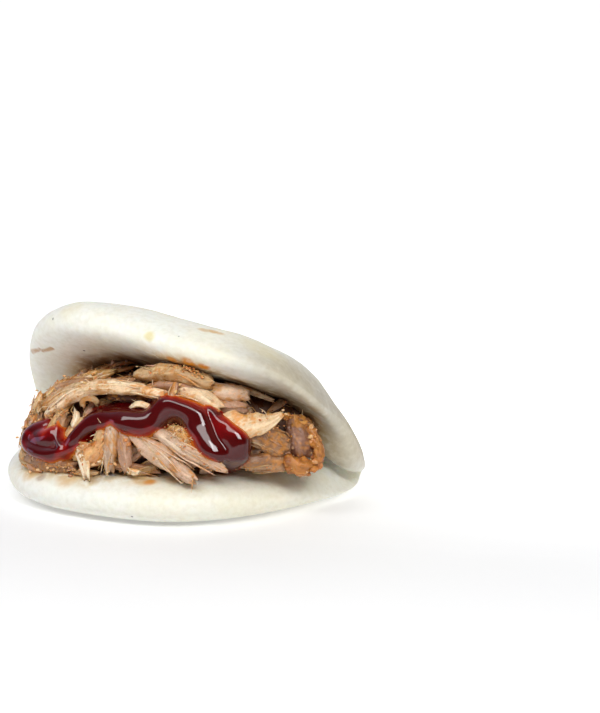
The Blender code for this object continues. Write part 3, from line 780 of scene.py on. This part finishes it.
class Front:
    """The heap's outline at mid height, unrolled: how far along from the front's middle, and how high."""

    def __init__(self):
        turn = np.radians(np.linspace(140, 370, 1400))
        self.line = heap_place(turn, 0.0 * turn)[:, :2]
        run = np.concatenate([[0], np.cumsum(np.linalg.norm(np.diff(self.line, axis=0), axis=1))])
        front = np.argmin(np.where(self.line[:, 1] < HEAP_CENTRE[1], np.abs(self.line[:, 0]), np.inf))
        self.run = run - run[front]
        ahead = unit(np.gradient(self.line, axis=0))
        self.normal = np.stack([ahead[:, 1], -ahead[:, 0]], -1)

    def at(self, run, high):
        x, y = (np.interp(run, self.run, self.line[:, k]) for k in (0, 1))
        nx, ny = (np.interp(run, self.run, self.normal[:, k]) for k in (0, 1))
        place = np.stack([x, y + HEAP_LEAN * (high - HEAP_CENTRE[2]), high + 0 * x], -1)
        return place, unit(np.stack([nx, ny, HEAP_LEAN + 0 * nx], -1))


# The drizzle's runs on the unrolled front: how far along, how high, half its width and its thickness.
SAUCE_RUNS = [
    [(-24.2, 21, 2, 1.8), (-22.5, 22.8, 2.4, 2.4), (-20.2, 24.8, 2.7, 2.8), (-18, 27, 2.9, 3),
     (-15.8, 28.5, 3.1, 3), (-13.8, 29.3, 3.1, 3), (-11.2, 30, 2.7, 3), (-8.5, 29.5, 3.3, 3),
     (-5.5, 28.3, 3.8, 3.1), (-2.8, 27.8, 4, 3.1), (0.2, 28.2, 3.8, 3), (2.2, 29.6, 3.9, 3),
     (4, 30.8, 4.1, 3.1), (6.5, 31.3, 3.5, 3.2), (9.5, 30.9, 3.3, 3.2), (11.8, 29.6, 3.2, 3.2),
     (13.2, 27.5, 3, 3.1), (14.8, 25, 2.9, 3), (16.2, 22.5, 2.7, 3), (18, 20, 2.5, 3),
     (20, 18.2, 2.3, 3)],
    [(-35.2, 26, 1.2, 0.8), (-38.5, 24.2, 1.9, 1.8), (-41, 21.2, 2.3, 2.6), (-40, 18.6, 2.4, 2.8),
     (-36, 17.3, 2.3, 2.8), (-31.2, 17.1, 2.1, 2.6), (-26.5, 18.2, 1.9, 2.2), (-23, 19.9, 1.6, 1.6),
     (-20.5, 21.4, 1.1, 0.8)],
    [(-37.6, 21.4, 3.2, 1.9), (-31, 22, 3.2, 2)],
    [(-29.2, 26.5, 0.8, 0.8), (-28.8, 24.5, 1.1, 1.6), (-28.2, 22, 1.3, 2), (-26.8, 20.2, 1.5, 2)],
    [(15.2, 31.5, 1.3, 1.2), (16.6, 30.2, 1.7, 1.8), (18.5, 28, 2.2, 2.2), (20.2, 25.2, 2.9, 2.3),
     (22.4, 22.2, 3.5, 3.2), (23.8, 19.6, 3.9, 4.4), (23.8, 18, 3.7, 4.4)],
    [(4.5, 34.6, 0.6, 0.7), (4.6, 33, 1, 1.4), (4.8, 31.5, 1.4, 2)],
]


def sauce_height(run, high, sharp=0.16):
    """How thick the sauce is at each place; it goes below nothing outside its edge."""
    total = np.zeros(run.shape)
    for points in SAUCE_RUNS:
        best = np.full(run.shape, -9.0)
        for s, z, half, thick in curve_through(points, 14 * len(points)):
            away = np.hypot(run - s, high - z) / half
            mound = thick * np.maximum(1 - away**2.6, 0) ** 0.5
            best = np.maximum(best, np.where(away < 1, mound, -(away - 1) * half * 0.9))
        total += np.exp(np.clip(best / sharp, -40, 40))
    return sharp * np.log(np.maximum(total, 1e-12))


def sauce_shape(front, surface, step=0.33):
    """The drizzle: a thick film over the meat, which fills its hollows and ends in rounded edges."""
    run, high = np.meshgrid(np.arange(-48, 32, step), np.arange(9, 40, step), indexing="ij")
    place, outward = front.at(run, high)
    off, bare = 25, -4.0
    depth = np.full(run.shape, bare)
    for cell in np.ndindex(run.shape):
        hit = surface.ray_cast(Vector(place[cell] + outward[cell] * off), Vector(-outward[cell]), 40)
        if hit[0] is not None:
            depth[cell] = off - hit[3]
    wander = [0.6 * noise(run / 5, high / 5, k, 33) for k in (5, 8)]
    thick = sauce_height(run + wander[0], high + wander[1]) + 0.1 * noise(run / 4, high / 4, 0, 31)
    close = int(3.0 / step)
    filled = softened(widened(widened(depth, close, np.max), close, np.min), 1.5 / step)
    local = softened(depth, 0.5 / step)
    base = softened(mix(local, filled, smooth(0.4 + thick / 0.6)), 1.2 / step)
    level = softened(base + thick, 0.35 / step)
    under = np.minimum(local, level) - 1.6
    mask = thick > -0.8
    keep = mask[:-1, :-1] & mask[1:, :-1] & mask[:-1, 1:] & mask[1:, 1:]
    used = np.zeros(run.shape, bool)
    for di, dk in ((0, 0), (1, 0), (0, 1), (1, 1)):
        used[di : di + keep.shape[0], dk : dk + keep.shape[1]] |= keep
    count = used.sum()
    index = np.full(run.shape, -1)
    index[used] = np.arange(count)
    faces, edges = [], {}
    for i, k in zip(*np.nonzero(keep)):
        ring = [index[i, k], index[i + 1, k], index[i + 1, k + 1], index[i, k + 1]]
        faces += [tuple(ring), tuple(v + count for v in ring[::-1])]
        for a, b in zip(ring, ring[1:] + ring[:1]):
            if (b, a) in edges:
                del edges[(b, a)]
            else:
                edges[(a, b)] = True
    faces += [(b, a, a + count, b + count) for a, b in edges]
    amount = np.concatenate([np.clip(level - local, 0, 4)[used], np.full(count, 2.0)])
    points = np.concatenate([(place + outward * layer[..., None])[used] for layer in (level, under)])
    shape = Shape()
    shape.add(points, faces, amount=amount)
    return shape


# Materials


class Graph:
    """Short ways to add nodes to a material or a surround, and to set its main node."""

    def __init__(self, owner, main="Principled BSDF"):
        owner.use_nodes = True
        self.owner, self.tree = owner, owner.node_tree
        self.main = self.tree.nodes[main]

    def node(self, kind, inputs=None, **settings):
        made = self.tree.nodes.new("ShaderNode" + kind)
        for key, value in settings.items():
            setattr(made, key, value)
        for key, value in (inputs or {}).items():
            self.put(made.inputs[key], value)
        return made

    def put(self, socket, value):
        if isinstance(value, bpy.types.NodeSocket):
            self.tree.links.new(value, socket)
        else:
            socket.default_value = value

    def set(self, **values):
        for key, value in values.items():
            self.put(self.main.inputs[key.replace("_", " ")], value)

    def attribute(self, name, output="Fac"):
        return self.node("Attribute", attribute_name=name).outputs[output]

    def place(self, output="Object"):
        return self.node("TexCoord").outputs[output]

    def vector(self, operation, a, b, output=0):
        return self.node("VectorMath", {0: a, 1: b}, operation=operation).outputs[output]

    def speckle(self, vector, scale, detail, roughness=0.55):
        inputs = {"Vector": vector, "Scale": scale, "Detail": detail, "Roughness": roughness}
        return self.node("TexNoise", inputs).outputs[0]

    def span(self, value, low, high, out_low=0.0, out_high=1.0):
        inputs = {"Value": value, "From Min": low, "From Max": high, "To Min": out_low, "To Max": out_high}
        return self.node("MapRange", inputs, interpolation_type="SMOOTHSTEP").outputs[0]

    def maths(self, operation, a, b):
        return self.node("Math", {0: a, 1: b}, operation=operation).outputs[0]

    def blend(self, factor, a, b, how="MIX"):
        return self.node("Mix", {0: factor, 6: a, 7: b}, data_type="RGBA", blend_type=how).outputs[2]

    def times(self, colour, by):
        return self.blend(1.0, colour, by, "MULTIPLY")

    def bump(self, height, distance, strength, under=None):
        inputs = {"Height": height, "Distance": distance, "Strength": strength}
        if under is not None:
            inputs["Normal"] = under
        return self.node("Bump", inputs).outputs[0]


def rgba(*colour):
    return (*[float(c) for c in colour], 1.0)


def shown(r, g, b):
    """A shader's colour, given from 0 to 255 as it shows on a screen."""
    return rgba(*linear(r, g, b))


def streak(start, end, reach, strong, count=9):
    """Spots close together in a line, which read as one thin streak."""
    start, end = np.array(start), np.array(end)
    return [(tuple(start + (end - start) * k / (count - 1)), reach, strong) for k in range(count)]


# Marks on the dough: their colour, and each spot's middle in millimetres, its reach and its strength.
STAINS = {
    "yellow": ((224, 212, 160), [
        # The broad second spot, on the upper lobe's right shoulder, is painted warm shade, not a stain.
        ((0.1, -38.3, 53.2), 1.7, 0.9), ((30, -28, 48), 7, 0.4), ((-28, -28, 58), 4, 0.3)]),
    "tan": ((214, 172, 100), [
        ((14.4, -31, 54.3), 1.9, 0.7), ((16.4, -30, 54.2), 2.2, 0.9), ((18.2, -30, 53.4), 1.7, 0.7),
        ((0, -42, 12.7), 4, 0.6), ((8.2, -40, 12.8), 3, 0.6), ((-24, -43, 11), 3.4, 0.6),
        ((-38, -37, 10.6), 3, 0.6)]),
    "amber": ((216, 136, 20), [
        ((6.6, -37.6, 46.2), 1.8, 0.9), ((12, -39.3, 46), 2.2, 1), ((16.5, -39.3, 44.8), 2, 1),
        ((1.5, -43.5, 12.7), 1.8, 0.8), ((15.7, -32, 13), 3, 0.7), ((19.4, -32, 13), 2.4, 0.6)]),
    "brown": ((142, 98, 50), [
        ((-26, -11, 38), 7, 0.6), ((-14, -15, 40), 8, 0.8), ((-2, -26, 43), 6, 0.7),
        ((-33.4, -40.6, 10.4), 1.6, 0.5), ((-15.2, -43.4, 12), 2.6, 0.4)]),
    "smear": ((190, 146, 92), [
        *streak((-48.4, -10.6, 41), (-44, -14.8, 42.9), 0.8, 0.8),
        *streak((-43.4, -14.4, 42.2), (-38.6, -17.6, 44), 0.9, 0.9)]),
    "speck": ((52, 42, 36), [
        ((-33.7, -26.8, 54.7), 0.45, 1), ((-27.4, -19.6, 44.2), 0.4, 1), ((-0.4, -37, 48.3), 0.35, 1),
        ((49.5, -6.2, 21.9), 0.45, 1), ((9, -38.2, 53.3), 0.3, 0.8), ((-1.8, -49.4, 3.2), 0.35, 0.9)]),
}
SWIRL = 0.0011


def dough_material():
    g = Graph(bpy.data.materials.new("steamed_dough"))
    place = g.place()
    cloud, fine, mottle = g.speckle(place, 42, 4), g.speckle(place, 620, 3), g.speckle(place, 330, 4, 0.65)
    colour = g.blend(g.span(cloud, 0.4, 0.68), shown(242, 242, 233), shown(240, 237, 220))
    colour = g.blend(g.span(fine, 0.35, 0.75), colour, g.times(colour, rgba(0.93, 0.92, 0.89)))
    # Grease stains near the meat and over the inner face, in part painted shade towards the right end.
    grease = g.maths("MULTIPLY", g.attribute("grease"), g.span(mottle, 0.25, 0.6, 0.35, 1.25))
    colour = g.blend(g.span(grease, 0.03, 0.5, 0.0, 0.8), colour, shown(214, 192, 146))
    colour = g.blend(g.span(grease, 0.35, 0.95, 0.0, 0.9), colour, shown(160, 116, 66))
    # Painted shade: the dough at the right end darkened to a brown-grey.
    dusk = g.maths("MULTIPLY", g.attribute("dusk"), g.span(mottle, 0.2, 0.6, 0.8, 1.1))
    colour = g.blend(dusk, colour, g.times(colour, rgba(0.50, 0.44, 0.37)))
    swirl = g.node("TexNoise", {"Vector": place, "Scale": 260.0, "Detail": 1.0}).outputs["Color"]
    shift = g.vector("MULTIPLY", g.vector("SUBTRACT", swirl, (0.5, 0.5, 0.5)), (SWIRL, SWIRL, SWIRL))
    moved = g.vector("ADD", place, shift)
    for name, (stain, spots) in STAINS.items():
        total, sharp = 0.0, name == "speck"
        for middle_place, reach, strength in spots:
            centre = tuple((np.array(middle_place) + SHIFT) * MM)
            away = g.vector("DISTANCE", place if sharp else moved, centre, "Value")
            total = g.maths("MAXIMUM", total, g.span(away, reach * MM * 0.5, reach * MM * 1.4, strength, 0.0))
        if not sharp:
            total = g.maths("MULTIPLY", total, g.span(mottle, 0.3, 0.5, 0.6, 1.0))
        colour = g.blend(total, colour, shown(*stain))
    pores = g.span(g.node("TexVoronoi", {"Vector": place, "Scale": 900.0}).outputs[0], 0.0, 0.5)
    normal = g.bump(g.speckle(place, 420, 4), 0.00025, 0.5, g.bump(pores, 0.00006, 0.5))
    g.set(Base_Color=colour, Roughness=g.span(fine, 0.3, 0.7, 0.5, 0.62), Normal=normal)
    g.set(Subsurface_Weight=0.35, Subsurface_Radius=(1.0, 0.75, 0.5), Subsurface_Scale=0.003)
    return g.owner


def pork_material():
    g = Graph(bpy.data.materials.new("pulled_pork"))
    place, grain = g.place(), g.attribute("grain", "Vector")
    threads = g.speckle(g.vector("MULTIPLY", grain, (4.2, 0.6, 1.0)), 1.0, 3)
    rough, fine, wet = g.speckle(place, 900, 3), g.speckle(place, 2200, 2), g.speckle(place, 420, 3)
    colour = g.attribute("tint", "Vector")
    colour = g.times(colour, g.blend(threads, rgba(0.84, 0.81, 0.77), rgba(1.16, 1.16, 1.16)))
    colour = g.times(colour, g.blend(rough, rgba(0.84, 0.80, 0.74), rgba(1.14, 1.14, 1.16)))
    colour = g.times(colour, g.blend(fine, rgba(0.80, 0.76, 0.70), rgba(1.2, 1.2, 1.2)))
    normal = g.bump(rough, 0.0003, 0.6, g.bump(threads, 0.00025, 0.6))
    g.set(Base_Color=colour, Roughness=g.span(wet, 0.4, 0.6, 0.16, 0.5), Normal=normal)
    g.set(Subsurface_Weight=0.2, Subsurface_Radius=(1.0, 0.4, 0.2), Subsurface_Scale=0.0012)
    return g.owner


def sauce_material():
    g = Graph(bpy.data.materials.new("sauce"))
    amount = g.attribute("amount")
    colour = g.blend(g.span(amount, 0.2, 1.3), shown(196, 104, 30), shown(158, 34, 12))
    colour = g.blend(g.span(amount, 1.1, 2.6), colour, shown(112, 3, 5))
    colour = g.blend(g.span(amount, 2.6, 4.0), colour, shown(74, 4, 5))
    g.set(Base_Color=colour, Roughness=0.07, IOR=1.54, Normal=g.bump(g.speckle(g.place(), 90, 1), 0.0003, 0.05))
    return g.owner


# The lamps: place and size in metres, power in watts, and colour.
LAMPS = {
    "softbox": ((-0.03, -0.40, 0.44), (0.72, 0.19), 2.55, (0.96, 0.97, 0.95)),
    "window": ((0.32, -0.38, 0.33), (0.17, 0.15), 1.0, (0.96, 0.97, 0.98)),
    "strip": ((-0.42, -0.12, 0.07), (0.16, 0.12), 0.09, (0.66, 0.64, 1.0)),
}
LAMPS_AIM = Vector((0, -0.01, 0.03))
# The floor's half width in metres, where its back starts to rise, and how high that gets.
FLOOR, RISE_FROM, RISE_TO = 3, 2, 0.5


def stage_and_light():
    """A pale floor that rises far behind and glows, more towards the back, three lamps and a white surround."""
    scene = bpy.context.scene
    scene.view_settings.view_transform = "Standard"
    mesh = bpy.data.meshes.new("floor")
    rows = ((-FLOOR, 0), (RISE_FROM, 0), (FLOOR, RISE_TO))
    mesh.from_pydata([(x, y, z) for y, z in rows for x in (-FLOOR, FLOOR)], [], [(0, 1, 3, 2), (2, 3, 5, 4)])
    floor = placed("floor", mesh)
    g = Graph(bpy.data.materials.new("floor"))
    dust = g.speckle(g.place(), 30, 3)
    back = g.node("SeparateXYZ", {0: g.place()}).outputs["Y"]
    g.set(Base_Color=g.blend(dust, rgba(0.78, 0.78, 0.78), rgba(0.81, 0.81, 0.81)), Roughness=0.9)
    # Painted light: the floor glows faintly in front and more towards the back, keeping it white.
    g.set(Emission_Color=rgba(1, 1, 1), Emission_Strength=g.span(back, -0.06, 0.12, 0.15, 0.8))
    mesh.materials.append(g.owner)
    scene.world = surround()
    for name, (place, size, power, colour) in LAMPS.items():
        lamp = bpy.data.lights.new(name, "AREA")
        lamp.shape, lamp.size, lamp.size_y = "RECTANGLE", *size
        lamp.energy, lamp.color = power, colour
        obj = placed(name, lamp)
        obj.location = place
        obj.rotation_euler = (Vector(place) - LAMPS_AIM).to_track_quat("Z", "Y").to_euler()


def surround():
    """A white room: bright above and behind, darker in front, cool on the left and warm on the right."""
    g = Graph(bpy.data.worlds.new("surround"), "Background")
    x, y, z = g.node("SeparateXYZ", {0: g.place("Generated")}).outputs
    shaded = g.maths("MULTIPLY", g.span(x, -0.15, 0.6), g.span(z, 0.02, 0.35))
    colour = g.blend(g.span(x, -0.9, 0.3), rgba(0.66, 0.68, 0.86), rgba(1.0, 0.99, 0.96))
    colour = g.blend(shaded, colour, rgba(0.40, 0.36, 0.30))
    level = g.node("Mix", {0: g.span(z, 0.45, 0.9), 2: g.span(y, -0.25, 0.5, 0.10, 1.0), 3: 0.48}).outputs[0]
    level = g.maths("MAXIMUM", level, g.span(x, -0.95, -0.45, 0.10, 0.0))
    g.set(Color=colour, Strength=level)
    return g.owner


def camera():
    flat = math.cos(ELEVATION)
    back = Vector((math.sin(AZIMUTH) * flat, -math.cos(AZIMUTH) * flat, math.sin(ELEVATION)))
    right = Vector((math.cos(AZIMUTH), math.sin(AZIMUTH), 0))
    per_pixel = MM_PER_PIXEL * MM
    aim = Vector(SHIFT * MM)
    aim += right * (IMAGE_WIDE / 2 - ORIGIN_PIXEL[0]) * per_pixel
    aim += back.cross(right) * (ORIGIN_PIXEL[1] - IMAGE_HIGH / 2) * per_pixel
    made = placed("camera", bpy.data.cameras.new("camera"))
    made.data.lens, made.data.sensor_width, made.data.clip_start = LENS, SENSOR, 0.01
    made.location = aim + back * (IMAGE_HIGH * per_pixel / SENSOR * LENS)
    made.rotation_mode = "QUATERNION"
    made.rotation_quaternion = (-back).to_track_quat("-Z", "Y")
    bpy.context.scene.camera = made


def main():
    chance = random.Random(SEED)
    camera()
    stage_and_light()
    meat = pork_material()
    shapes = {"pork_core": core_shape(), "pork_chunks": chunk_shape(chance), "pork_strips": strip_shape(chance)}
    sheet = dough_sheet()
    dough = BVHTree.FromPolygons(sheet[0].tolist(), sheet[1])
    points, faces = [], []
    for shape in shapes.values():
        kept_inside(shape, dough)
        faces += [tuple(k + len(points) for k in face) for face in shape.faces]
        points += np.concatenate(shape.points).tolist()
    surface = BVHTree.FromPolygons(points, faces)
    shapes["pork_bits"] = bits_shape(chance, surface)
    pieces = [(bun_shape(sheet, surface).build("steamed_bun", dough_material()), "bun", "steamed_dough")]
    pieces += [(shape.build(name, meat), "pulled_pork", "pork_and_sauce") for name, shape in shapes.items()]
    sauce = sauce_shape(Front(), surface).build("sauce", sauce_material())
    pieces.append((sauce, "pulled_pork", "pork_and_sauce"))
    for piece, node, slot in pieces:
        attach(piece, "root")
        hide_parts(node)
        print(piece.name, sum(len(p.vertices) - 2 for p in piece.data.polygons), "triangles")


main()
